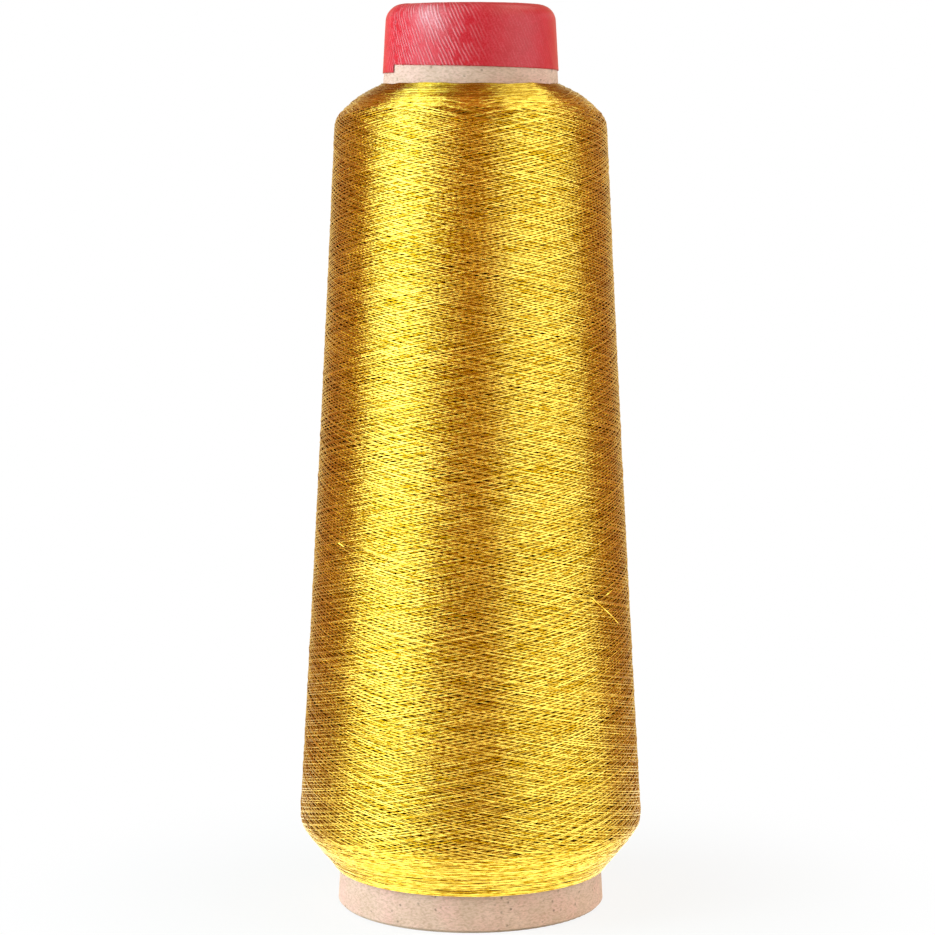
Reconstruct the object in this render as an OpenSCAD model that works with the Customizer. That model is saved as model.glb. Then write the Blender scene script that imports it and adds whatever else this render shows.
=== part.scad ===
// Cone of metallic embroidery thread.
//
// A tapered paper tube, rolled from board and finished with a facing paper, carries one
// long cross-wound thread. Its small end, the nose, is rolled in to a smooth round rim
// and wears a band of coloured paper. The origin is the centre of the base rim and +Z
// runs up the axis of the tube. Sizes are millimetres, angles are degrees, and azimuth
// is counted from +X towards +Y.

/* [Paper tube] */
// Height from the base rim to the top of the nose
overall_height = 230; // [200:0.5:260]
// Outside diameter of the facing paper, carried down to the base plane
base_outer_d = 68.8; // [62:0.1:80]
// Taper of the tube, from its axis to its side
half_angle = 3.35; // [2:0.05:4.5]
// Whole wall at the side: board, glue line and facing paper
wall = 2.6; // [2:0.1:3.6]
// Facing paper round the board
facing_t = 0.3; // [0.2:0.05:0.6]
// One ply of the board, which steps the bore where the roll begins
ply_t = 0.45; // [0.2:0.05:0.8]
// Azimuth of the edge where the roll begins
roll_edge_azimuth = 75; // [0:1:359]
// Round of the board's outer base edge
base_round = 0.8; // [0.3:0.1:1.6]
// Glue line between one layer and the next
glue_line = 0.05; // [0.02:0.01:0.1]

/* [Nose] */
// Round of the nose, from the side to its top
nose_round = 4; // [2.5:0.1:6]
// Bore through the rolled-in nose
nose_bore_d = 32; // [28:0.5:33]
// Depth of the rolled-in rim, from its top
rim_depth = 5.4; // [4:0.1:8]
// Slope under the rim, along the axis
rim_slope = 2; // [1:0.1:3]
// Round where the top of the rim turns into the bore
rim_edge_round = 0.6; // [0.3:0.1:0.9]

/* [Nose band] */
// Paper of the nose band
band_t = 0.2; // [0.1:0.05:0.3]
// Height of the band where its strip begins
band_start_height = 14.7; // [12:0.1:16]
// Drop of the band's lower edge in one turn, which steps it at the lap
band_drop = 2.1; // [0.5:0.1:2.5]
// Width of the lap where the strip covers its own beginning
lap_w = 6; // [3:0.5:12]
// Azimuth of the strip's outer end
lap_azimuth = 210; // [0:1:359]

/* [Thread package] */
// Bare tube below the thread
bare_base = 9.6; // [6:0.1:20]
// Bare tube and nose above the thread
bare_nose = 19.3; // [17.5:0.1:30]
// Depth of thread at the foot of the lower shoulder
foot_depth = 1; // [0.6:0.1:3]
// Length of the lower shoulder along the axis
low_shoulder = 11.7; // [8:0.1:16]
// Depth of thread over the tube at the lower corner
low_build = 11.2; // [8:0.1:16]
// Length of the upper shoulder along the axis
top_shoulder = 9.2; // [7:0.1:14]
// Depth of thread over the tube at the upper corner
top_build = 11.8; // [8:0.1:16]
// Length of the flatter crown of the upper shoulder, along the axis
crown_length = 2.5; // [1.5:0.1:4]
// Depth of thread where the crown begins
crown_build = 5.1; // [3.5:0.1:6.5]
// Round of the lower corner
low_corner_round = 4.6; // [2:0.1:7]
// Round of the upper corner
top_corner_round = 6; // [2:0.1:7]
// Hollow of the side between its corners
side_hollow = 0.3; // [0:0.05:1]

/* [Outer turns] */
// Diameter of the thread
thread_d = 0.45; // [0.3:0.01:0.6]
// Gap from thread to thread where strokes cross
crossing_gap = 0.45; // [0.42:0.01:0.8]
// Gap from the package to the thread at its nearest
seat_gap = 0.1; // [0.05:0.01:0.3]
// Strokes from end to end of the package
strokes = 8; // [4:2:8]
// Steps of a ring's spacing in each stroke, 24 to a turn
stroke_steps = 69; // [57:6:69]
// Distance kept from the corners of the package where a stroke turns back
stroke_margin = 2; // [1:0.1:6]
// Azimuth where the thread comes out of the package
thread_azimuth = 318; // [0:1:359]
// Share of the last stroke that is wound before the loose end
last_stroke_share = 0.65; // [0.4:0.01:0.8]
// Length of the loose end
loose_end = 14; // [6:0.5:20]
// Slope of the loose end across the package
loose_slope = 35; // [25:1:60]
// Height that the loose end's tip lifts off the turns
loose_lift = 0.8; // [0.4:0.1:2]

/* [Hidden] */
$fn = 96;
cut = 1;                // how far a cutting shape runs past what it cuts
arc_steps = 8;          // straight stretches in the round of a package corner
hollow_steps = 10;      // straight stretches in the hollow side of the package

// The skin is the outside of the facing paper. Everything else is an offset from it.
base_r = base_outer_d / 2;
skin_h = overall_height - glue_line - band_t;
nose_z = skin_h - nose_round;
board_off = -facing_t - glue_line;
board_h = skin_h + board_off;
bore_r = nose_bore_d / 2;
rim_z = board_h - rim_depth;
rim_slope_r = tube_r(rim_z, -wall) - ply_t;

// Radius of the tube at height z, a distance off outside the skin
function tube_r(z, off = 0) = base_r - z * tan(half_angle) + off / cos(half_angle);

nose_r = tube_r(nose_z, -nose_round);

// The band: its strip covers its own beginning over the lap
band_off = glue_line;
band_r = tube_r(skin_h - band_start_height, band_off);
lap_angle = lap_w / band_r * 180 / PI;
climb_angle = 2;        // where the strip climbs onto its own beginning
strip_azimuth = lap_azimuth - lap_angle;
band_low_z = skin_h - band_start_height - band_drop;
band_end_r = bore_r + rim_edge_round + 0.2;

// The package: the outline's corners, each [radius, height, round]
layer_depth = 2 * thread_d;
foot_z = bare_base;
crest_z = overall_height - bare_nose;
low_z = foot_z + low_shoulder;
top_z = crest_z - top_shoulder;
crown_z = crest_z - crown_length;
seat_off = glue_line;
low_r = tube_r(low_z) + low_build - layer_depth;
top_r = tube_r(top_z) + top_build - layer_depth;

// Side of the package from its lower to its upper corner, drawn in by the hollow
function side_point(s) = [
    low_r + (top_r - low_r) * s - 4 * side_hollow * s * (1 - s),
    low_z + (top_z - low_z) * s,
    s == 0 ? low_corner_round : s == 1 ? top_corner_round : 0
];

package_corners = concat(
    [[tube_r(foot_z, seat_off), foot_z, 0]],
    [[tube_r(foot_z) + foot_depth, foot_z, foot_depth / 2]],
    [for (i = [0 : hollow_steps]) side_point(i / hollow_steps)],
    [[tube_r(crown_z) + crown_build, crown_z, crown_length]],
    [[tube_r(crest_z, seat_off) + thread_d, crest_z, 0]],
    [[tube_r(crest_z, seat_off), crest_z, 0]]
);

// One corner of an outline as the points of its round, between its two neighbours
function rounded_corner(before, corner, after) =
    let (
        p = [corner.x, corner.y],
        u = [before.x, before.y] - p,
        v = [after.x, after.y] - p,
        a = u / norm(u),
        b = v / norm(v),
        half = acos(a * b) / 2,
        reach = corner.z / tan(half),
        m = (a + b) / norm(a + b),
        centre = p + m * corner.z / sin(half),
        from = p + a * reach - centre,
        to = p + b * reach - centre,
        turn = acos(from * to / (norm(from) * norm(to))),
        way = from.x * to.y - from.y * to.x > 0 ? 1 : -1
    )
    corner.z == 0 ? [p] : [
        for (i = [0 : arc_steps])
            let (t = way * turn * i / arc_steps)
            centre + [from.x * cos(t) - from.y * sin(t), from.x * sin(t) + from.y * cos(t)]
    ];

function rounded_outline(corners) =
    let (n = len(corners))
    [
        for (i = [0 : n - 1])
            each rounded_corner(corners[(i + n - 1) % n], corners[i], corners[(i + 1) % n])
    ];

package_outline = rounded_outline(package_corners);

// Radius of the package's side at height z, read from its outline
side_table = [
    for (p = package_outline)
        if (p.x > tube_r(p.y) + foot_depth)
            [p.y, p.x]
];
function side_r(z) = lookup(z, side_table);

// The outer turns: the thread's centre runs from the package's surface to the free tip.
// Rings stand every 15 degrees on every turn, so crossing strokes keep their distance
// on the straight stretches between rings as well as on the rings.
turn_steps = 24;
step_angle = 360 / turn_steps;
thread_sides = 6;
turn_back = 0.995;      // how sharply a stroke turns back, towards 1 for a sharp corner
level_swap = 5.5;       // how soon after a turn the thread is on its own level again
gap_samples = 8;        // places tested on each stretch between two rings
chord_dip = low_r * (1 / cos(step_angle / 2) - 1);
up_level = chord_dip + seat_gap + thread_d / 2;
down_level = up_level + thread_d + crossing_gap;
stroke_low_z = low_z + stroke_margin;
stroke_top_z = top_z - stroke_margin;
wound_steps = (strokes - 1) * stroke_steps + round(last_stroke_share * stroke_steps);
stub_level = (up_level + down_level) / 2;
bend_r = stub_level - seat_gap - thread_d;

function stroke_phase(step) = 180 * step / stroke_steps - 90;

function wound_z(step) =
    (stroke_low_z + stroke_top_z) / 2
    + (stroke_top_z - stroke_low_z) / 2 * asin(turn_back * sin(stroke_phase(step))) / asin(turn_back);

// Strokes up lie on the lower level and strokes down on the upper one
function wound_level(step) =
    let (share = min(1, max(0, 0.5 - level_swap * cos(stroke_phase(step)))))
    up_level + (down_level - up_level) * share;

function around(azimuth, r, z) = [r * cos(azimuth), r * sin(azimuth), z];

function wound_point(step) =
    let (z = wound_z(step))
    around(thread_azimuth + step_angle * step, side_r(z) + wound_level(step), z);

// The thread leaves the package square to its surface and bends into its first turn
function stub_point(radial, along) =
    let (z = wound_z(0))
    around(thread_azimuth, side_r(z) + seat_gap + radial, z)
    + (along - bend_r) * [-sin(thread_azimuth), cos(thread_azimuth), 0];

// The loose end runs down across the turns and lifts off them
function loose_point(share) =
    let (
        azimuth = thread_azimuth + step_angle * wound_steps,
        z0 = wound_z(wound_steps),
        z = z0 - loose_end * share * sin(loose_slope),
        along = loose_end * share * cos(loose_slope),
        r = side_r(z) + down_level + loose_lift * share
    )
    around(azimuth + along / r * 180 / PI, r, z);

thread_path = concat(
    [stub_point(0, 0)],
    [for (a = [0 : 30 : 60]) stub_point(thread_d + bend_r * sin(a), bend_r * (1 - cos(a)))],
    [for (step = [0 : wound_steps]) wound_point(step)],
    [for (share = [0.25 : 0.25 : 1]) loose_point(share)]
);

// Least gap of the thread to itself: every turn against every other at the same azimuth
function strand_points(first, share) = [
    for (step = [first : turn_steps : wound_steps - 1])
        wound_point(step) * (1 - share) + wound_point(step + 1) * share
];

function least_in(points) = min([
    for (i = [0 : len(points) - 2], j = [i + 1 : len(points) - 1])
        norm(points[i] - points[j])
]);

function least_gap() = min([
    for (first = [0 : turn_steps - 1], sample = [0 : gap_samples - 1])
        least_in(strand_points(first, sample / gap_samples))
]) - thread_d;

// Half section of everything inside the surface that lies off outside the skin
module tube_section(off) {
    polygon([
        [0, 0],
        [tube_r(0, off), 0],
        [nose_r + (nose_round + off) * cos(half_angle), nose_z + (nose_round + off) * sin(half_angle)],
        [nose_r, nose_z + nose_round + off],
        [0, nose_z + nose_round + off]
    ]);
    translate([nose_r, nose_z])
        circle(r = nose_round + off);
}

// A layer of paper on the tube, from height z_low to where it ends on the rim's top
module paper_section(off, t, z_low, end_r) {
    difference() {
        tube_section(off + t);
        tube_section(off);
        translate([-cut, -cut])
            square([base_outer_d, z_low + cut]);
        translate([-cut, -cut])
            square([end_r + cut, overall_height + 2 * cut]);
    }
}

// The lap's second ply, bedded half into the first and rolled flat where the nose rounds
module lap_section(inner_off, outer_off) {
    polygon([
        [tube_r(band_low_z, inner_off), band_low_z],
        [tube_r(band_low_z, outer_off), band_low_z],
        [tube_r(nose_z, outer_off), nose_z],
        [tube_r(nose_z, inner_off), nose_z]
    ]);
}

// Half section of the tube's hollow, wider by extra, up to the underside of the rim
module hollow_section(extra) {
    polygon([
        [0, -cut],
        [tube_r(-cut, -wall) + extra, -cut],
        [tube_r(rim_z, -wall) + extra, rim_z],
        [0, rim_z]
    ]);
}

// Two half turns about centres half a ply apart leave the step where the roll begins
module rolled_hollow() {
    rotate([0, 0, roll_edge_azimuth]) {
        rotate_extrude(angle = 180)
            hollow_section(0);
        translate([ply_t / 2, 0, 0])
            rotate([0, 0, 180])
                rotate_extrude(angle = 180)
                    hollow_section(ply_t / 2);
    }
}

// What a round of radius r takes off a square edge, which lies at the origin, in +X +Y
module edge_waste(r) {
    difference() {
        translate([-cut, -cut])
            square(r + cut);
        translate([r, r])
            circle(r = r);
    }
}

// Solid through a row of rings of points, each ring counted round the way it travels
module lofted(points, sides) {
    last = len(points) - sides;
    walls = [
        for (ring = [0 : sides : last - sides], k = [0 : sides - 1])
            let (a = ring + k, b = ring + (k + 1) % sides)
            each [[a, a + sides, b], [b, a + sides, b + sides]]
    ];
    first_cap = [for (k = [1 : sides - 2]) [0, k, k + 1]];
    last_cap = [for (k = [1 : sides - 2]) [last, last + k + 1, last + k]];
    polyhedron(points = points, faces = concat(walls, first_cap, last_cap), convexity = 10);
}

// Wedge of a ramp, half a turn long, that trims the band's lower edge. The edge falls
// fastest where the strip begins and runs level where it comes round to the lap.
module ramp_half(from_angle) {
    inner = bore_r / 2;
    outer = base_outer_d;
    low = band_low_z - 2 * cut;
    lofted([
        for (angle = [from_angle : step_angle : from_angle + 180])
            let (high = band_low_z + band_drop * (1 - sin(angle / 4)))
            each [
                around(angle, inner, low),
                around(angle, inner, high),
                around(angle, outer, high),
                around(angle, outer, low)
            ]
    ], 4);
}

// A tube of diameter d along a path that never stands upright
module swept_thread(path, d, sides) {
    n = len(path);
    lofted([
        for (i = [0 : n - 1])
            let (
                before = path[max(i - 1, 0)],
                after = path[min(i + 1, n - 1)],
                into = i == 0 ? after - path[i] : path[i] - before,
                out = i == n - 1 ? into : after - path[i],
                along = into / norm(into) + out / norm(out),
                t = along / norm(along),
                across = cross([0, 0, 1], t),
                u = across / norm(across),
                v = cross(t, u)
            )
            each [
                for (k = [0 : sides - 1])
                    path[i] + d / 2 * (cos(360 * k / sides) * u + sin(360 * k / sides) * v)
            ]
    ], sides);
}

// Rolled board: tapered wall, rolled-in nose rim and the ply's step along the bore
module cone_board() {
    color("burlywood")
        difference() {
            rotate_extrude()
                difference() {
                    tube_section(board_off);
                    translate([tube_r(0, board_off), 0])
                        mirror([1, 0])
                            edge_waste(base_round);
                    translate([bore_r, board_h])
                        mirror([0, 1])
                            edge_waste(rim_edge_round);
                }
            rolled_hollow();
            translate([0, 0, rim_z])
                cylinder(h = rim_slope, r1 = rim_slope_r, r2 = bore_r);
            translate([0, 0, rim_z])
                cylinder(h = rim_depth + cut, r = bore_r);
        }
}

// Facing paper: one smooth sheet over the board, rolled in with the nose
module facing_paper() {
    color("tan")
        rotate_extrude()
            paper_section(-facing_t, facing_t, base_round, bore_r + rim_edge_round);
}

// Nose band: a strip of coloured paper whose end laps over its beginning
module nose_band() {
    color("crimson") {
        difference() {
            rotate_extrude()
                paper_section(band_off, band_t, band_low_z, band_end_r);
            rotate([0, 0, strip_azimuth]) {
                ramp_half(0);
                ramp_half(180);
            }
        }
        rotate([0, 0, strip_azimuth - climb_angle])
            rotate_extrude(angle = lap_angle + climb_angle)
                lap_section(band_off + band_t / 2, band_off + 2 * band_t);
    }
}

// Thread package: the wound thread under its outer layer, with a shoulder at each end
module thread_package() {
    color("gold")
        rotate_extrude()
            polygon(package_outline);
}

// Outer turns: one unbroken thread, cross-wound from end to end of the package
module outer_turns() {
    echo(least_gap_of_outer_turns_mm = least_gap());
    color("goldenrod")
        swept_thread(thread_path, thread_d, thread_sides);
}

cone_board();
facing_paper();
nose_band();
thread_package();
outer_turns();
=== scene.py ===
"""A cone of gold metallic embroidery thread: paper tube, red nose band and wound thread."""
import math
import random

import bmesh
import bpy
import numpy as np
from mathutils import Matrix, Vector, noise


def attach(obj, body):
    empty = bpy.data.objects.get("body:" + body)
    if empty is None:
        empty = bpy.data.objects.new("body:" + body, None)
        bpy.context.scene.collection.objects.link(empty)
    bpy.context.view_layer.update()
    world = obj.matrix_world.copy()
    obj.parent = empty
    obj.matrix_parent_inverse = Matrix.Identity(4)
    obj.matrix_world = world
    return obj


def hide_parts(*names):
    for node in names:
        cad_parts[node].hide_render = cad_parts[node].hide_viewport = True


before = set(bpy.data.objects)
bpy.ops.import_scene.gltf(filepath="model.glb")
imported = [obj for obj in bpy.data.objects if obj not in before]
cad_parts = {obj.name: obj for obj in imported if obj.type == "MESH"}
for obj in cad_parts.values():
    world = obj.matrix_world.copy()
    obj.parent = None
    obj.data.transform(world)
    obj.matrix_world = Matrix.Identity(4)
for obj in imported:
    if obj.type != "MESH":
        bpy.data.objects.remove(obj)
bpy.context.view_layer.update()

MM = 0.001
FULL_TURN = 2 * math.pi
FRONT = math.radians(270)  # azimuths count from +X towards +Y, and the camera stands at -Y

# ---------------------------------------------------------------- sizes, in millimetres

HALF_ANGLE = math.radians(3.35)  # from the tube's axis to its side
BASE_R = 34.4
GLUE_LINE = 0.05

THREAD_D = 0.34
FOOT_Z = 9.6  # where the thread begins on the tube
CREST_Z = 210.7  # and where it ends
LOW_CORNER = (21.3, 44.35)  # height and radius where the lower shoulder meets the side
TOP_CORNER = (201.5, 34.41)  # and where the side meets the upper shoulder
SIDE_HOLLOW = 0.3
CORNER_SOFTNESS = 0.7  # how gently one stretch of the outline runs into the next
# Straight stretches: a height, the radius there, and its growth for each millimetre upwards.
LOWER_SHOULDER = (FOOT_Z, 35.0, 0.8)
UPPER_SHOULDER = (208, 27.8, -1.05)
CROWN = (CREST_Z, 22.3, -2.05)

BAND_T = 0.2
BAND_LOW_Z = 212.95  # lowest point of the band's lower edge
BAND_DROP = 2.1  # how far that edge sinks from the strip's beginning to its end
BAND_END_R = 16.8  # where the band ends, over the rim
NOSE_R = 17.18  # centre line of the rolled nose
NOSE_Z = 225.75
NOSE_ROUND = 4.25  # radius of the roll, over the band
STRIP_START = math.radians(192.5)
STRIP_END = math.radians(210)


def tube_r(z, off=0.0):
    """Radius of the paper tube at height z, a distance off outside its facing."""
    return BASE_R - z * math.tan(HALF_ANGLE) + off / math.cos(HALF_ANGLE)


def package_r(z):
    """Radius over the thread at height z: two shoulders, the hollow side and the crown."""
    share = (z - LOW_CORNER[0]) / (TOP_CORNER[0] - LOW_CORNER[0])
    dip = 4 * SIDE_HOLLOW * share * (1 - share) if 0 < share < 1 else 0
    side = LOW_CORNER[1] + (TOP_CORNER[1] - LOW_CORNER[1]) * share - dip
    lower, upper, crown = (
        r + (z - at) * growth for at, r, growth in (LOWER_SHOULDER, UPPER_SHOULDER, CROWN)
    )
    stretches = (lower, side, upper, crown)
    least = min(stretches)
    near = sum(math.exp((least - r) / CORNER_SOFTNESS) for r in stretches)
    return least - CORNER_SOFTNESS * math.log(near)


def smooth(x, low=0.0, high=1.0):
    """A soft step from 0 at low to 1 at high."""
    x = min(max((x - low) / (high - low), 0.0), 1.0)
    return x * x * (3 - 2 * x)


def around_axis(azimuth, r, z):
    """The point at an azimuth in radians, a radius and a height."""
    return Vector((r * math.cos(azimuth), r * math.sin(azimuth), z))


# ---------------------------------------------------------------- objects


def in_scene(name, data):
    """A new object in the scene that holds the data."""
    made = bpy.data.objects.new(name, data)
    bpy.context.scene.collection.objects.link(made)
    return made


def place_object(name, mesh, finish):
    """An object at the origin that holds a finished mesh."""
    mesh.name = name
    mesh.materials.clear()
    mesh.materials.append(finish)
    return in_scene(name, mesh)


def place_bmesh(name, bm, finish):
    """An object at the origin that holds what the bmesh has shaped."""
    mesh = bpy.data.meshes.new(name)
    bm.to_mesh(mesh)
    bm.free()
    return place_object(name, mesh, finish)


def looking_at(at, target):
    """The place of a camera or a lamp that stands at one point and faces another."""
    turned = (target - at).to_track_quat("-Z", "Y")
    return Matrix.Translation(at) @ turned.to_matrix().to_4x4()


# ---------------------------------------------------------------- camera

AXIS_OFFSET = 0.81  # how far the axis stands right of the middle of the view
EYE = Vector((-AXIS_OFFSET, -733.2, 198.6))
AIM = Vector((-AXIS_OFFSET, 0, 112.9))

camera_data = bpy.data.cameras.new("camera")
camera_data.lens = 110.95
camera_data.sensor_width = 36
camera = in_scene("camera", camera_data)
camera.matrix_world = looking_at(EYE * MM, AIM * MM)
bpy.context.scene.camera = camera
bpy.context.scene.view_settings.view_transform = "Standard"


# ---------------------------------------------------------------- finishes


def srgb(code):
    """A colour written as sRGB hex, as the linear colour that a socket takes."""
    parts = [int(code[i : i + 2], 16) / 255 for i in (1, 3, 5)]
    return [c / 12.92 if c <= 0.04045 else ((c + 0.055) / 1.055) ** 2.4 for c in parts] + [1]


def fill(tree, node, sockets):
    """Gives each of a node's sockets its value or its link."""
    for name, value in sockets.items():
        if isinstance(value, bpy.types.NodeSocket):
            tree.links.new(value, node.inputs[name])
        else:
            node.inputs[name].default_value = value


def add(tree, kind, sockets=(), out=0, **settings):
    """Adds a node with its settings and sockets, and gives one of its outputs.

    Where names repeat, sockets go by number. A MapRange takes its value at 0, its range at 1
    and 2 and the new range at 3 and 4. A Mix takes its share at 0, two numbers at 2 and 3 or
    two colours at 6 and 7, and gives the colour at 2.
    """
    made = tree.nodes.new("ShaderNode" + kind)
    for name, value in settings.items():
        setattr(made, name, value)
    fill(tree, made, dict(sockets))
    return made.outputs[out]


def new_finish(name):
    """A material with its tree and its Principled node."""
    material = bpy.data.materials.new(name)
    material.use_nodes = True
    tree = material.node_tree
    return material, tree, tree.nodes["Principled BSDF"]


def per_mm(size):
    """The Scale of a pattern whose detail is that many millimetres across."""
    return 1 / (size * MM)


def bands_mm(pitch):
    """The Scale of a wave texture whose bands are that many millimetres apart."""
    return 2 * math.pi / 20 / (pitch * MM)


# Metallised polyester film yarn: a gold-lacquered foil wound round a core. One thread is
# brighter than the next at random; each carries a painted glint in short brighter dashes,
# with the duller foil between them, and those that lie deeper are darkened with painted shade.
film_yarn, tree, shader = new_finish("metallised_film_yarn")
run = add(tree, "Attribute", out="Fac", attribute_name="run")
foil = add(
    tree, "TexNoise", {"W": run, "Scale": per_mm(3.0), "Detail": 3.0}, out="Fac",
    noise_dimensions="1D",
)
thread_tone = add(
    tree, "TexNoise", {"W": run, "Scale": per_mm(30), "Detail": 2.0}, out="Fac",
    noise_dimensions="1D",
)
tone = add(tree, "Mix", {0: 0.5, 2: foil, 3: thread_tone})
# Brighter dashes along each thread are a painted glint; the slow tone differs at random from
# thread to thread.
tone_and_painted_glint = add(tree, "MapRange", {0: tone, 1: 0.4, 2: 0.61, 3: 0.0, 4: 1.0})
gold = add(
    tree, "Mix", {0: tone_and_painted_glint, 6: srgb("#BE960E"), 7: srgb("#FFE86C")}, out=2, data_type="RGBA"
)
# Painted shade: the deeper a thread lies under the outline, the darker its gold.
sunk = add(tree, "Attribute", out="Fac", attribute_name="sunk")
painted_depth_shade = add(tree, "MapRange", {0: sunk, 1: 0.1, 2: 0.4, 3: 0.0, 4: 0.6})
gold = add(tree, "Mix", {0: painted_depth_shade, 6: gold, 7: srgb("#8A6A10")}, out=2, data_type="RGBA")
dull = add(tree, "MapRange", {0: foil, 1: 0.3, 2: 0.7, 3: 0.25, 4: 0.15})
relief = add(tree, "Bump", {"Height": foil, "Distance": 0.1 * MM, "Strength": 1.0})
fill(tree, shader, {"Base Color": gold, "Metallic": 1.0, "Roughness": dull, "Normal": relief})

# The same yarn under the outer turns, darkened with painted shade: close crossing lays 0.9 mm
# apart, darkest between them.
yarn_in_painted_shade, tree, shader = new_finish("film_yarn_in_painted_shade")
around = add(tree, "Attribute", out="Vector", attribute_name="unrolled")
lays = []
for lean in (12, -12):
    turned = add(tree, "Mapping", {"Vector": around, "Rotation": (0, 0, math.radians(lean))})
    lays.append(add(
        tree, "TexWave",
        {"Vector": turned, "Scale": bands_mm(0.9), "Distortion": 1.5, "Detail": 1.0},
        out="Fac", wave_type="BANDS", bands_direction="Y",
    ))
crossed = add(tree, "Math", {0: lays[0], 1: lays[1]}, operation="MAXIMUM")
# Painted shade: near black between the lays, dark brown on them.
depth = add(
    tree, "Mix", {0: crossed, 6: srgb("#2A1400"), 7: srgb("#7A4A08")}, out=2, data_type="RGBA"
)
relief = add(tree, "Bump", {"Height": crossed, "Distance": 0.2 * MM, "Strength": 1.0})
fill(tree, shader, {"Base Color": depth, "Metallic": 1.0, "Roughness": 0.5, "Normal": relief})

# Machine-glazed tissue, dyed red: a little shiny, drawn into fine slanting ridges as it was
# rolled on. The ridges are 0.8 mm apart, broken, and rubbed paler on top. In one patch round
# the rim a painted highlight makes their tops paler still and pales the dye between them too.
red_tissue, tree, shader = new_finish("glazed_red_tissue")
place = add(tree, "TexCoord", out="Object")
blotch = add(tree, "TexNoise", {"Vector": place, "Scale": per_mm(5), "Detail": 4.0}, out="Fac")
fibre = add(tree, "TexNoise", {"Vector": place, "Scale": per_mm(0.36), "Detail": 3.0}, out="Fac")
strip = add(tree, "Attribute", out="Vector", attribute_name="strip")
drawn = add(tree, "Attribute", out="Fac", attribute_name="drawn")
painted_highlight = add(tree, "Attribute", out="Fac", attribute_name="painted_highlight")
slanted = add(tree, "Mapping", {"Vector": strip, "Rotation": (0, 0, math.radians(24))})
ridge = add(
    tree, "TexWave",
    {
        "Vector": slanted, "Scale": bands_mm(0.8), "Distortion": 2.0, "Detail": 2.0,
        "Detail Scale": 0.6,
    },
    out="Fac", wave_type="BANDS", bands_direction="X",
)
ridge = add(tree, "MapRange", {0: ridge, 1: 0.35, 2: 1.0, 3: 0.0, 4: 1.0})
stretched = add(tree, "Mapping", {"Vector": slanted, "Scale": (1.0, 0.4, 1.0)})
broken = add(
    tree, "TexNoise", {"Vector": stretched, "Scale": per_mm(1.3), "Detail": 1.0}, out="Fac"
)
broken = add(tree, "MapRange", {0: broken, 1: 0.36, 2: 0.54, 3: 0.0, 4: 1.0})
for weaker in (broken, drawn):
    ridge = add(tree, "Math", {0: ridge, 1: weaker}, operation="MULTIPLY")
uneven = add(tree, "MapRange", {0: fibre, 1: 0.48, 2: 0.62, 3: 0.0, 4: 0.32})
highlight_fibre_mask = add(tree, "MapRange", {0: fibre, 1: 0.35, 2: 0.62, 3: 0.12, 4: 0.55})
# A painted highlight in one patch round the rim: pale fibres there, and ridge tops paler than
# the little rubbing gives them elsewhere.
highlight_fibres = add(tree, "Math", {0: painted_highlight, 1: highlight_fibre_mask}, operation="MULTIPLY")
rubbed_and_highlit = add(tree, "MapRange", {0: painted_highlight, 1: 0.0, 2: 1.0, 3: 0.34, 4: 0.8})
rubbed_and_highlit = add(tree, "Math", {0: ridge, 1: rubbed_and_highlit}, operation="MULTIPLY")
dye = srgb("#BA0418")
for share, colour in (
    (blotch, "#D0142A"), (uneven, "#E24A5A"), (highlight_fibres, "#EDB4B6"), (rubbed_and_highlit, "#F8C0C2")
):
    dye = add(tree, "Mix", {0: share, 6: dye, 7: srgb(colour)}, out=2, data_type="RGBA")
glaze = add(tree, "MapRange", {0: fibre, 1: 0.3, 2: 0.7, 3: 0.34, 4: 0.46})
grain = add(tree, "Bump", {"Height": fibre, "Distance": 0.05 * MM, "Strength": 1.0})
relief = add(
    tree, "Bump", {"Height": ridge, "Distance": 0.12 * MM, "Strength": 1.0, "Normal": grain}
)
fill(tree, shader, {"Base Color": dye, "IOR": 1.5, "Roughness": glaze, "Normal": relief})

# Facing of recycled paper: matt and pinkish, with short fibres, pale clouds and dark specks.
facing, tree, shader = new_finish("recycled_facing_paper")
place = add(tree, "TexCoord", out="Object")
cloud = add(tree, "TexNoise", {"Vector": place, "Scale": per_mm(6), "Detail": 5.0}, out="Fac")
blush = add(tree, "TexNoise", {"Vector": place, "Scale": per_mm(8), "Detail": 3.0}, out="Fac")
laid = add(tree, "Mapping", {"Vector": place, "Scale": (1.0, 1.0, 2.2)})
fibres = add(
    tree, "TexNoise", {"Vector": laid, "Scale": per_mm(0.9), "Detail": 3.0, "Distortion": 0.6},
    out="Fac",
)
ragged = add(
    tree, "VectorMath", {0: fibres.node.outputs["Color"], 1: (0.7 * MM,) * 3},
    operation="MULTIPLY",
)
ragged = add(tree, "VectorMath", {0: place, 1: ragged}, operation="ADD")
speck = add(
    tree, "TexVoronoi", {"Vector": ragged, "Scale": per_mm(1.9), "Randomness": 1.0},
    out="Distance",
)
core = add(tree, "MapRange", {0: speck, 1: 0.08, 2: 0.24, 3: 1.0, 4: 0.0})
few = add(
    tree, "MapRange", {0: speck.node.outputs["Color"], 1: 0.45, 2: 0.75, 3: 0.0, 4: 0.75}
)
dark = add(tree, "Math", {0: core, 1: few}, operation="MULTIPLY")
pinker = add(tree, "MapRange", {0: blush, 1: 0.45, 2: 0.65, 3: 0.0, 4: 0.6})
thin = add(tree, "MapRange", {0: fibres, 1: 0.32, 2: 0.6, 3: 0.5, 4: 0.0})
pulp = srgb("#CBAA90")
for share, colour in (
    (cloud, "#F0CDB9"), (pinker, "#E9B9AA"), (thin, "#A9846A"), (dark, "#5E4434")
):
    pulp = add(tree, "Mix", {0: share, 6: pulp, 7: srgb(colour)}, out=2, data_type="RGBA")
nap = add(tree, "MapRange", {0: fibres, 1: 0.3, 2: 0.7, 3: 0.92, 4: 0.78})
grain = add(tree, "Bump", {"Height": fibres, "Distance": 0.05 * MM, "Strength": 0.6})
fill(tree, shader, {"Base Color": pulp, "IOR": 1.5, "Roughness": nap, "Normal": grain})

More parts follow.
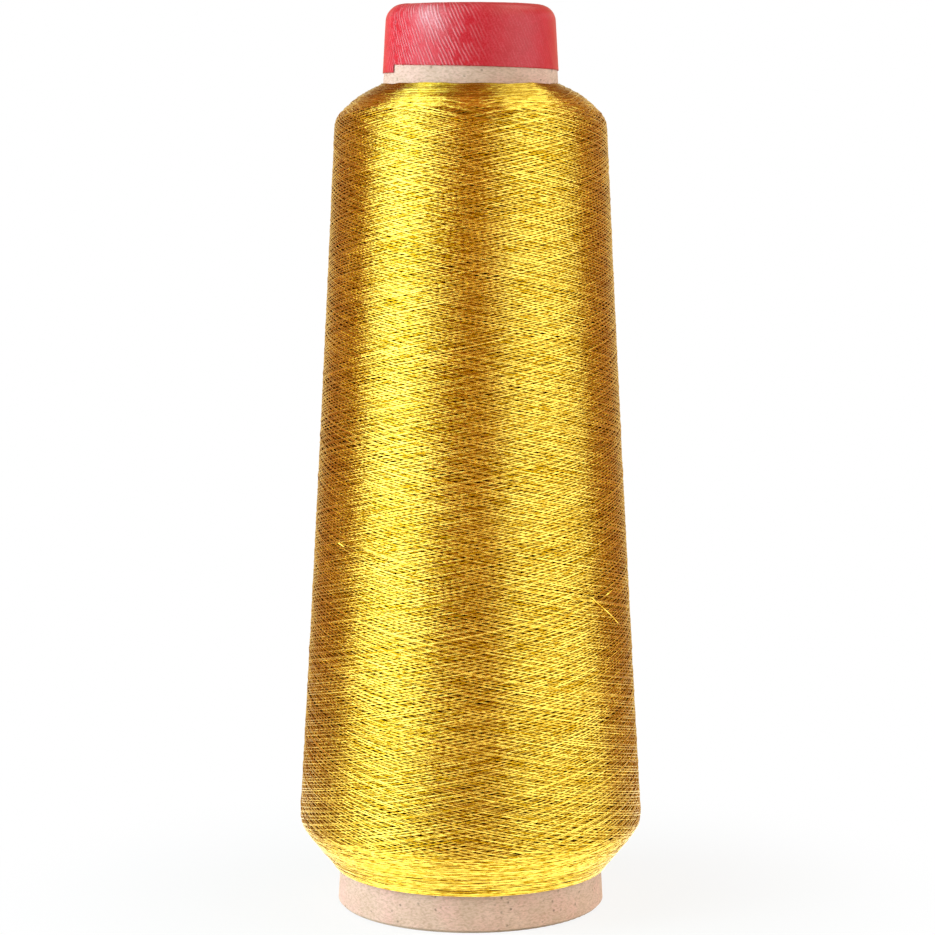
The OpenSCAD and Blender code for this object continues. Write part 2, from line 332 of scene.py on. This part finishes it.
# Rolled greyboard: coarser and browner than its facing; its ends show the rolled plies.
board, tree, shader = new_finish("rolled_greyboard")
place = add(tree, "TexCoord", out="Object")
chaff = add(tree, "TexNoise", {"Vector": place, "Scale": per_mm(1.5), "Detail": 4.0}, out="Fac")
plies = add(
    tree, "TexWave",
    {"Vector": place, "Scale": bands_mm(0.45), "Distortion": 0.4, "Detail": 2.0},
    out="Fac", wave_type="RINGS", rings_direction="Z",
)
way_up = add(tree, "SeparateXYZ", {0: add(tree, "TexCoord", out="Normal")}, out="Z")
cut_end = add(tree, "Math", {0: way_up}, operation="ABSOLUTE")
cut_end = add(tree, "MapRange", {0: cut_end, 1: 0.9, 2: 0.97, 3: 0.0, 4: 0.6})
joint = add(tree, "Math", {0: plies, 1: cut_end}, operation="MULTIPLY")
brown = srgb("#B29880")
for share, colour in ((chaff, "#D6BCA4"), (joint, "#6E563F")):
    brown = add(tree, "Mix", {0: share, 6: brown, 7: srgb(colour)}, out=2, data_type="RGBA")
grain = add(tree, "Bump", {"Height": chaff, "Distance": 0.08 * MM, "Strength": 0.7})
fill(tree, shader, {"Base Color": brown, "IOR": 1.5, "Roughness": 0.9, "Normal": grain})

for name, finish in (("cone_board", board), ("facing_paper", facing)):
    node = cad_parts[name]
    node.data.materials.clear()
    node.data.materials.append(finish)


# ---------------------------------------------------------------- the nose band

ROUND_SWEEP = math.pi / 2 - HALF_ANGLE  # of the roll, from its flat top to the tube's side
ROUND_END_Z = NOSE_Z + NOSE_ROUND * math.cos(ROUND_SWEEP)
FLAT_W = NOSE_R - BAND_END_R
ROUND_W = NOSE_ROUND * ROUND_SWEEP
STRIP_SWEEP = FULL_TURN + STRIP_END - STRIP_START
STRIP_R = 20  # radius at which a length along the strip is counted
PAPER_GAP = 0.02  # between one lay of the paper and the next
LAP_CLIMB = 0.035  # turn in which the strip climbs on its own beginning
LAP_TIP = 0.12  # turn over which its end is pressed down
EDGE_WAVE = 0.1  # how far its cut edge strays
EDGE_WAVES = 60  # for each radian of turn
BUCKLE_H = 0.06  # how far the paper stands off where it buckled
BUCKLE_W = (2.2, 7)  # across the ridges and down the strip
RIDGE_LEAN = 0.45  # along the strip for each millimetre down it
RIDGES_AT = math.radians(46)  # turn from the strip's beginning to the deepest ridges
RIDGES_FADE = 2.1  # how soon they get fainter to either side
FAINTEST_RIDGE = 0.12
HIGHLIGHT_AT = (14.2, 6.3)  # middle of the painted highlight patch, square to the ridges and down
HIGHLIGHT_W = (3.6, 3.8)


def band_edge(turned):
    """Height of the band's lower edge, turned radians along the strip from its beginning."""
    wave = EDGE_WAVE * noise.noise(Vector((turned * EDGE_WAVES, 0.0, 1.0)))
    return BAND_LOW_Z + BAND_DROP * (1 - math.sin(min(turned, FULL_TURN) / 4)) + wave


def band_profile(down):
    """Radius, height and lean of the band's outside, down millimetres from its inner end."""
    if down < FLAT_W:
        return BAND_END_R + down, NOSE_Z + NOSE_ROUND, 0.0
    lean = min((down - FLAT_W) / NOSE_ROUND, ROUND_SWEEP)
    side = max(down - FLAT_W - ROUND_W, 0)
    return (
        NOSE_R + NOSE_ROUND * math.sin(lean) + side * math.sin(HALF_ANGLE),
        NOSE_Z + NOSE_ROUND * math.cos(lean) - side * math.cos(HALF_ANGLE),
        lean,
    )


def across_ridges(turned, down):
    """Distance square to the ridges from the strip's beginning, in millimetres."""
    return turned * STRIP_R - RIDGE_LEAN * down


def buckle(turned, down):
    """How far the paper stands off at a place on the strip: low slanting swells."""
    across, along = across_ridges(turned, down) / BUCKLE_W[0], down / BUCKLE_W[1]
    return BUCKLE_H * max(noise.noise(Vector((across, along, 9.0))), 0)


def lap(turned, down):
    """How far the strip is lifted where its end lies on its beginning."""
    climbed = smooth(turned, FULL_TURN - LAP_CLIMB, FULL_TURN) * (BAND_T + PAPER_GAP)
    pressed = 1 - 0.7 * smooth(turned, STRIP_SWEEP - LAP_TIP, STRIP_SWEEP)
    return climbed * pressed * (0.6 + 0.4 * smooth(down, 2.0, 7.0))


def ridge_depth(turned):
    """Depth of the ridges from 0 to 1: deepest at one place, and faint all the way round."""
    off = abs((turned - RIDGES_AT + math.pi) % FULL_TURN - math.pi)
    near = max(math.cos(RIDGES_FADE * off), 0) if off < 1 else 0
    return FAINTEST_RIDGE + (1 - FAINTEST_RIDGE) * near


def painted_highlight_share(turned, down):
    """Share of the painted highlight, from 0 to 1, in one patch on the round of the nose."""
    across = (across_ridges(turned, down) - HIGHLIGHT_AT[0]) / HIGHLIGHT_W[0]
    along = (down - HIGHLIGHT_AT[1]) / HIGHLIGHT_W[1]
    return math.exp(-(across ** 2) - along ** 2)


bm = bmesh.new()
bmesh.ops.create_grid(bm, x_segments=600, y_segments=44, size=0.5)
strip_layer = bm.verts.layers.float_vector.new("strip")
drawn_layer = bm.verts.layers.float.new("drawn")
highlight_layer = bm.verts.layers.float.new("painted_highlight")
for vert in bm.verts:
    turned = (vert.co.x + 0.5) * STRIP_SWEEP
    side_w = (ROUND_END_Z - band_edge(turned)) / math.cos(HALF_ANGLE)
    down = (vert.co.y + 0.5) * (FLAT_W + ROUND_W + side_w)
    r, z, lean = band_profile(down)
    lift = buckle(turned, down) + lap(turned, down)
    r, z = r + lift * math.sin(lean), z + lift * math.cos(lean)
    vert.co = around_axis(STRIP_START + turned, r, z) * MM
    vert[strip_layer] = Vector((turned * STRIP_R, down, 0)) * MM
    vert[drawn_layer] = ridge_depth(turned)
    vert[highlight_layer] = painted_highlight_share(turned, down)
bmesh.ops.recalc_face_normals(bm, faces=bm.faces[:])
bm.faces.ensure_lookup_table()
middle = bm.faces[0].calc_center_median()
if bm.faces[0].normal.dot(Vector((middle.x, middle.y, 0.02))) < 0:  # an open sheet can face in
    bmesh.ops.reverse_faces(bm, faces=bm.faces[:])
band_strip = place_bmesh("band_strip", bm, red_tissue)
band_strip.data.shade_smooth()
sheet = band_strip.modifiers.new("paper", "SOLIDIFY")
sheet.thickness = (BAND_T - PAPER_GAP) * MM
sheet.offset = -1
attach(band_strip, "root")
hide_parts("nose_band")


# ---------------------------------------------------------------- the inner windings

UNDER = 1.0  # how far they lie under the outline
INNER_ENDS = (FOOT_Z + 0.15, CREST_Z - 1.4)  # heights
UNROLLED_R = 0.04  # radius at which the crossing lays are unrolled, in metres

heights = np.linspace(*INNER_ENDS, 60)
outline = [(max(package_r(z) - UNDER, tube_r(z, 0.15)), z) for z in heights]
lining = [(tube_r(z, GLUE_LINE), z) for z in (heights[-1], heights[0])]
bm = bmesh.new()
loop = [bm.verts.new((r * MM, 0, z * MM)) for r, z in outline + lining]
for a, b in zip(loop, loop[1:] + loop[:1], strict=True):
    bm.edges.new((a, b))
bmesh.ops.spin(
    bm, geom=bm.verts[:] + bm.edges[:], cent=(0, 0, 0), axis=(0, 0, 1),
    angle=FULL_TURN, steps=144, use_merge=True, use_duplicate=False,
)
bmesh.ops.recalc_face_normals(bm, faces=bm.faces[:])
inner_windings = place_bmesh("inner_windings", bm, yarn_in_painted_shade)
mesh = inner_windings.data
mesh.shade_smooth()
co = np.empty(len(mesh.vertices) * 3)
mesh.vertices.foreach_get("co", co)
x, y, z = co.reshape(-1, 3).T
flat = np.stack([np.arctan2(y, x) * UNROLLED_R, z, 0 * z], 1)
mesh.attributes.new("unrolled", "FLOAT_VECTOR", "POINT").data.foreach_set("vector", flat.ravel())


# ---------------------------------------------------------------- the wound thread

STEP = FULL_TURN / 60  # between two rings of the thread
WIND_SLOPE = math.tan(math.radians(12))
FIRST_LOW = 14.0  # height where the first stroke begins
LOWEST, LOW_SPREAD = 9.9, 12.0  # heights at which strokes turn back at the foot
HIGHEST, HIGH_SPREAD = 210.5, 6.3  # and at the crest
BENDS = (30, 70)  # least and greatest radius in which a stroke turns back
MIDDLE_Z = 105.0
CLOSED, OPEN = 114, 72  # pairs of strokes in the layer beneath, and in the last, open layer
CLOSED_DEPTH = 0.3  # how far the layer beneath lies under the outline
LAYER_T = 0.08  # how far the first stroke of a layer lies under its last
STRAYS_OUT = ((0.015, 2), (0.04, 9))  # how far the thread strays, and over how many rings
STRAYS_UP = ((0.02, 2), (0.09, 16))
MOST_OUT = 0.1  # that it may stand over the outline
CROWN_EDGE = (204, 210)  # heights over which the shoulder turns into the crown
CROWN_SLIP = 0.75  # how far turns on the crown have slipped down
PARTS = 8
SIDES = 6  # of the round thread
LEAVES_AT = (math.radians(317.8), 83.3)  # azimuth and height where the loose end leaves
LOOSE_TO = (math.radians(333.5), 75.5)  # and where it ends
PROUD = 0.1  # how far the loose end stands over the outline where it leaves
draw = random.Random(7)
scatter = np.random.default_rng(11)


def laying_order():
    """Azimuths at mid height in the order of winding: the closed layer, then the open one."""
    places = []
    for count in (CLOSED, OPEN):
        slots = list(range(count))
        draw.shuffle(slots)
        places += [(slot + draw.uniform(-0.3, 0.3)) * FULL_TURN / count for slot in slots]
    return places


def one_stroke(start, end, bend_in, bend_out):
    """Azimuth gained and height at each ring of a stroke between two turn-backs."""
    way = 1 if end > start else -1
    azimuth, z = 0.0, start
    rows = []
    while way * (end - z) > 0.02:
        rows.append((azimuth, z))
        easing_in = math.sqrt(2 * WIND_SLOPE * abs(z - start) / bend_in) + 0.004
        easing_out = math.sqrt(2 * WIND_SLOPE * abs(end - z) / bend_out) + 0.004
        z += way * package_r(z) * min(WIND_SLOPE, easing_in, easing_out) * STEP
        azimuth += STEP
    return np.array(rows)


def wound_path():
    """Azimuth, height and stroke of every ring of one thread, wound to and fro."""
    upward, downward = laying_order(), laying_order()
    low, azimuth, done = FIRST_LOW, 0.0, 0
    rows = []
    for up_at, down_at in zip(upward, downward):
        high = HIGHEST - HIGH_SPREAD * draw.random() ** 1.4
        next_low = LOWEST + LOW_SPREAD * draw.random() ** 1.3
        bends = [draw.uniform(*BENDS) for _ in range(3)]
        for start, end, at, bend_in, bend_out in (
            (low, high, up_at, bends[0], bends[1]),
            (high, next_low, down_at, bends[1], bends[2]),
        ):
            stroke = one_stroke(start, end, bend_in, bend_out)
            rising = stroke if end > start else stroke[::-1]
            first = at - np.interp(MIDDLE_Z, rising[:, 1], rising[:, 0])
            dwell = (first - azimuth) % FULL_TURN
            for turned in np.arange(STEP, dwell, STEP):
                rows.append((azimuth + turned, start, done))
            azimuth += dwell
            rows += [(azimuth + gained, z, done) for gained, z in stroke]
            azimuth += stroke[-1, 0]
            done += 1
        low = next_low
    rows = np.array(rows)
    last = rows[:, 2] == done - 1
    rows = rows[~(last & (rows[:, 1] < LEAVES_AT[1]))]
    rows[:, 0] += LEAVES_AT[0] - rows[-1, 0]
    return rows


def smooth_noise(count, spread):
    """Random offsets of unit size along the thread that change over spread rings."""
    knots = scatter.standard_normal(count // spread + 3)
    at = np.arange(count) / spread
    share = at % 1
    share = share * share * (3 - 2 * share)
    low = at.astype(int)
    return knots[low] * (1 - share) + knots[low + 1] * share


def slipped(azimuth):
    """How far turns have slipped down the crown at an azimuth, from about 0 to 1."""
    broad, fine = (noise.noise(around_axis(azimuth, count, 5.0)) for count in (3, 11))
    return 0.5 + 0.4 * broad + 0.3 * fine


def laid_thread():
    """Points of the wound thread in millimetres, and how deep each of them is sunk."""
    route = wound_path()
    rings = len(route)
    azimuth, height, pair = route[:, 0], route[:, 1], route[:, 2] // 2
    depth = np.where(
        pair < CLOSED,
        CLOSED_DEPTH + LAYER_T * (1 - pair / CLOSED),
        LAYER_T * (1 - (pair - CLOSED) / OPEN),
    )
    radius = np.array([package_r(z) for z in height]) - THREAD_D / 2 - depth
    for size, spread in STRAYS_OUT:
        radius = radius + size * smooth_noise(rings, spread)
    on_crown = np.array([smooth(z, *CROWN_EDGE) for z in height])
    for size, spread in STRAYS_UP:
        height = height + size * smooth_noise(rings, spread)
    height -= CROWN_SLIP * np.array([slipped(a) for a in azimuth]) * on_crown
    radius = np.minimum(radius, [package_r(z) - THREAD_D / 2 + MOST_OUT for z in height])
    radius = np.maximum(radius, [tube_r(z, THREAD_D / 2) for z in height])
    points = np.stack([radius * np.cos(azimuth), radius * np.sin(azimuth), height], 1)
    return points, np.array([package_r(z) for z in height]) - THREAD_D / 2 - radius


def loose_end():
    """Points of a straight stray that leaves the last turn and stands a little proud."""
    ends = []
    for azimuth, z in (LEAVES_AT, LOOSE_TO):
        r = package_r(z) + PROUD
        ends.append(np.array([r * math.cos(azimuth), r * math.sin(azimuth), z]))
    points = []
    for share in np.linspace(0.08, 1, 12):
        at = ends[0] * (1 - share) + ends[1] * share
        lifted = package_r(at[2]) + PROUD + 0.5 * smooth(share) + 0.1 * math.sin(5 * share)
        out = lifted / math.hypot(*at[:2])
        points.append((at[0] * out, at[1] * out, at[2]))
    return points


def lay_in_rows(mesh, count):
    """Lays the thread out flat in short rows, one above the other, for baked colour."""
    rows = 256
    per_row = math.ceil((count - 1) / rows)
    flat = mesh.uv_layers[0]
    uv = np.empty(len(mesh.loops) * 2)
    flat.data.foreach_get("uv", uv)
    uv = uv.reshape(-1, 2)
    corners_of_caps = 2 * (SIDES - 2) * 3
    caps = uv[:corners_of_caps]
    tube = uv[corners_of_caps:].reshape(-1, 4, 2)
    at = np.round(tube[:, :, 0] * (count - 1))
    row = at.min(1) // per_row
    tube[:, :, 0] = (at - (row * per_row)[:, None]) / per_row
    tube[:, :, 1] = (row[:, None] + 0.15 + 0.7 * tube[:, :, 1]) / rows
    caps[:] = caps * 0.0002  # both caps share one small corner of the first row
    flat.data.foreach_set("uv", uv.ravel())
    flat.name = "OFBake"


def thread_piece(name, path, depths, started):
    """A thread along a path, as a closed tube that knows how far along the thread it is."""
    curve = bpy.data.curves.new(name, "CURVE")
    curve.dimensions = "3D"
    curve.bevel_depth = THREAD_D / 2 * MM
    curve.bevel_resolution = 1
    curve.use_fill_caps = True
    spline = curve.splines.new("POLY")
    spline.points.add(len(path) - 1)
    spline.points.foreach_set("co", np.c_[path, np.ones(len(path))].ravel())
    spline.use_smooth = True
    holder = in_scene(name + "_route", curve)
    bpy.context.view_layer.update()
    drawn_out = holder.evaluated_get(bpy.context.evaluated_depsgraph_get())
    mesh = bpy.data.meshes.new_from_object(drawn_out)
    bpy.data.objects.remove(holder)
    lengths = np.linalg.norm(np.diff(path, axis=0), axis=1)
    gone = np.concatenate([[0], np.cumsum(lengths)]) + started
    # The mesh begins with the rings of its two caps, the far one first.
    ring = np.maximum((np.arange(len(mesh.vertices)) - 2 * SIDES) // SIDES, 0)
    ring[:SIDES] = len(path) - 1
    for layer, values in (("run", gone), ("sunk", depths)):
        mesh.attributes.new(layer, "FLOAT", "POINT").data.foreach_set("value", values[ring])
    lay_in_rows(mesh, len(path))
    bm = bmesh.new()
    bm.from_mesh(mesh)
    bm.verts.ensure_lookup_table()
    cap_rings = bm.verts[: 3 * SIDES] + bm.verts[-SIDES:]
    bmesh.ops.remove_doubles(bm, verts=cap_rings, dist=1e-7)
    bm.to_mesh(mesh)
    bm.free()
    mesh.shade_smooth()
    return place_object(name, mesh, film_yarn), gone[-1]


points, sunk_by = laid_thread()
stray = loose_end()
points = np.concatenate([points, stray]) * MM
sunk_by = np.concatenate([sunk_by, np.zeros(len(stray))])

cuts = np.linspace(0, len(points) - 1, PARTS + 1).astype(int)
threads = []
started = 0.0
for i, (start, end) in enumerate(zip(cuts, cuts[1:])):
    path, depths = points[start : end + 1], sunk_by[start : end + 1]
    piece, started = thread_piece(f"windings_{i + 1}", path, depths, started)
    threads.append(piece)

for piece in [inner_windings] + threads:
    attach(piece, "root")
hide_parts("thread_package")
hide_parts("outer_turns")


# ---------------------------------------------------------------- floor and world

WHITE = (1, 1, 1, 1)
SHADED_NEAR, PLAIN_FROM = 0.04, 0.14  # metres from the axis


def seen_outright(tree):
    """1 for the rays of the camera, of a mirror or of glass, and 0 for all others."""
    total = add(tree, "LightPath", out="Is Camera Ray")
    rays = total.node.outputs
    for kind in ("Is Glossy Ray", "Is Transmission Ray"):
        total = add(tree, "Math", {0: total, 1: rays[kind]}, operation="ADD")
    return total


# The floor is white where it is looked at, but keeps some of the thread's shadow.
floor_finish, tree, shader = new_finish("white_floor")
fill(tree, shader, {"Base Color": srgb("#F4F4F4"), "Roughness": 0.9})
seen = add(tree, "Emission", {"Color": WHITE, "Strength": 1.0})
outright = seen_outright(tree)
off = add(
    tree, "VectorMath", {0: add(tree, "TexCoord", out="Object")}, out="Value",
    operation="LENGTH",
)
away = add(
    tree, "MapRange", {0: off, 1: SHADED_NEAR, 2: PLAIN_FROM, 3: 0.85, 4: 1.0},
    interpolation_type="SMOOTHSTEP",
)
share = add(tree, "Math", {0: outright, 1: away}, operation="MULTIPLY")
mixed = add(tree, "MixShader", {0: share, 1: shader.outputs[0], 2: seen})
fill(tree, tree.nodes["Material Output"], {"Surface": mixed})
bm = bmesh.new()
bmesh.ops.create_circle(bm, cap_ends=True, segments=96, radius=6)
place_bmesh("floor", bm, floor_finish)

world = bpy.data.worlds.new("studio")
bpy.context.scene.world = world
world.use_nodes = True
tree = world.node_tree
soft = tree.nodes["Background"]
fill(tree, soft, {"Color": (1, 0.93, 0.87, 1), "Strength": 0.25})
white = add(tree, "Background", {"Color": WHITE, "Strength": 1.0})
mixed = add(tree, "MixShader", {0: seen_outright(tree), 1: soft.outputs[0], 2: white})
fill(tree, tree.nodes["World Output"], {"Surface": mixed})


# ---------------------------------------------------------------- lamps, in metres

LAMPS_AIM = Vector((0, 0, 0.11))  # half way up the thread
MIRROR_AT = 0.54  # how far from the axis the table top mirrors a softbox
MIRROR_DEPTH = 0.8
TABLE_D = 0.7


def area_lamp(name, shape, width, height, radiance, colour, place):
    """A flat lamp with the same radiance all over, which the camera doesn't see."""
    data = bpy.data.lights.new(name, "AREA")
    data.shape = shape
    data.size, data.size_y = width, height
    area = width * height * (math.pi / 4 if shape == "DISK" else 1)
    data.energy = radiance * math.pi * area
    data.color = colour
    lamp = in_scene(name, data)
    lamp.matrix_world = place
    lamp.visible_camera = False
    return lamp


def softbox(name, azimuth, distance, width, height, radiance, middle, colour):
    """A large flat lamp that faces the thread, azimuth degrees right of the camera."""
    at = around_axis(FRONT + math.radians(azimuth), distance, middle)
    place = looking_at(at, LAMPS_AIM)
    return area_lamp(name, "RECTANGLE", width, height, radiance, colour, place)


def table_mirror(name, azimuth, width, radiance):
    """The reflection of a softbox in the shiny table top, seen by mirror-like rays only."""
    turn = FRONT + math.radians(azimuth)
    place = (
        Matrix.Translation(around_axis(turn, MIRROR_AT, 0.001))
        @ Matrix.Rotation(turn, 4, "Z") @ Matrix.Rotation(math.pi, 4, "X")
    )
    lamp = area_lamp(name, "RECTANGLE", MIRROR_DEPTH, width, radiance, (1, 1, 1), place)
    lamp.visible_diffuse = False


softbox("softbox_left", -62, 0.68, 0.52, 1.4, 1.62, 0.5, (0.68, 1.0, 1.0))
softbox("strip_left", -61, 0.58, 0.13, 0.9, 2.0, 0.68, (0.76, 1.0, 1.1))
softbox("softbox_right", 62, 0.68, 0.77, 1.4, 0.36, 0.5, (1.0, 0.82, 0.4))
softbox("strip_right", 64, 0.58, 0.5, 0.5, 0.8, 0.75, (1.0, 1.0, 0.7))

# Two fills brighten the papers and leave no band on the thread.
fill_left = softbox("fill_left", -75, 0.9, 0.8, 1.0, 4.3, 0.2, (0.84, 0.97, 1.15))
fill_right = softbox("fill_right", 80, 0.9, 0.8, 1.0, 2.5, 0.2, (0.9, 1.03, 1.2))
fill_left.visible_glossy = fill_right.visible_glossy = False

# Two high lamps behind the thread carry its bright bands over the crown.
top_right = softbox("top_right", 128, 0.95, 0.8, 0.8, 1.9, 1.6, (1.0, 1.0, 0.7))
top_left = softbox("top_left", -116, 0.85, 0.6, 0.7, 1.5, 1.6, (0.9, 1.0, 1.0))
top_left.visible_diffuse = top_right.visible_diffuse = False

table_mirror("mirror_left", -61, 0.5, 2.0)
table_mirror("mirror_right", 62, 0.6, 0.9)

# A lit table top under the thread, which brightens what faces down.
light_table = area_lamp(
    "light_table", "DISK", TABLE_D, TABLE_D, 1.05, (1.0, 0.98, 0.78),
    Matrix.Translation((0, -0.08, 0.0005)) @ Matrix.Rotation(math.pi, 4, "X"),
)
light_table.visible_diffuse = False


# ---------------------------------------------------------------- cards, in metres

CARD_R = 2.5
BELOW = [(0.13, 0.002), (CARD_R, 0.002)]  # radius and height, from the thread outwards
LOW_SIDE, MIDDLE_SIDE, HIGH_SIDE = ([(CARD_R, height)] for height in (0.7, 1.12, 2.75))
ABOVE = [(CARD_R, 3.0), (0.01, 3.0)]


def card_finish(name, colour):
    """The lit colour of a card, painted as a glow."""
    made, tree, _ = new_finish(name)
    glow = add(tree, "Emission", {"Color": srgb(colour), "Strength": 1.0})
    fill(tree, tree.nodes["Material Output"], {"Surface": glow})
    return made


def hang_card(name, bm, finish):
    """Hangs a card round the set that only mirror-like rays see."""
    made = place_bmesh(name, bm, finish)
    for ray in ("camera", "diffuse", "transmission", "volume_scatter", "shadow"):
        setattr(made, "visible_" + ray, False)


def bent_card(name, first, last, outline, finish):
    """A card bent round the set between two azimuths, in degrees right of the camera."""
    bm = bmesh.new()
    turn = FRONT + math.radians(first)
    edge = [bm.verts.new(around_axis(turn, r, z)) for r, z in outline]
    for a, b in zip(edge, edge[1:]):
        bm.edges.new((a, b))
    bmesh.ops.spin(
        bm, geom=bm.verts[:] + bm.edges[:], cent=(0, 0, 0), axis=(0, 0, 1),
        angle=math.radians(last - first), steps=16, use_duplicate=False,
    )
    hang_card(name, bm, finish)


orange_card = card_finish("orange_card", "#CA875A")
brown_card = card_finish("brown_card", "#BA7048")
tan_card = card_finish("tan_card", "#C67E54")
cream_card = card_finish("cream_card", "#F3DBB1")
bent_card("card_front", -25, 22, BELOW + ABOVE, orange_card)
bent_card("card_right", 97, 112, BELOW + HIGH_SIDE, tan_card)
bent_card("card_right_back", 112, 144, BELOW + LOW_SIDE, tan_card)
bent_card("card_left", -112, -89.5, BELOW + HIGH_SIDE, brown_card)
bent_card("card_left_back", -144, -112, BELOW + LOW_SIDE, tan_card)
bent_card("card_back", 112, 248, MIDDLE_SIDE + HIGH_SIDE, brown_card)
bent_card("card_behind", 144, 216, BELOW + MIDDLE_SIDE, cream_card)

# A card overhead, behind the thread, which keeps the middle of the crown dark.
bm = bmesh.new()
over_head = Matrix.Translation((-0.05, 0.45, 3.0)) @ Matrix.Diagonal((1.8, 3.9, 1.0, 1.0))
bmesh.ops.create_grid(bm, x_segments=1, y_segments=1, size=0.5, matrix=over_head)
hang_card("card_above", bm, orange_card)
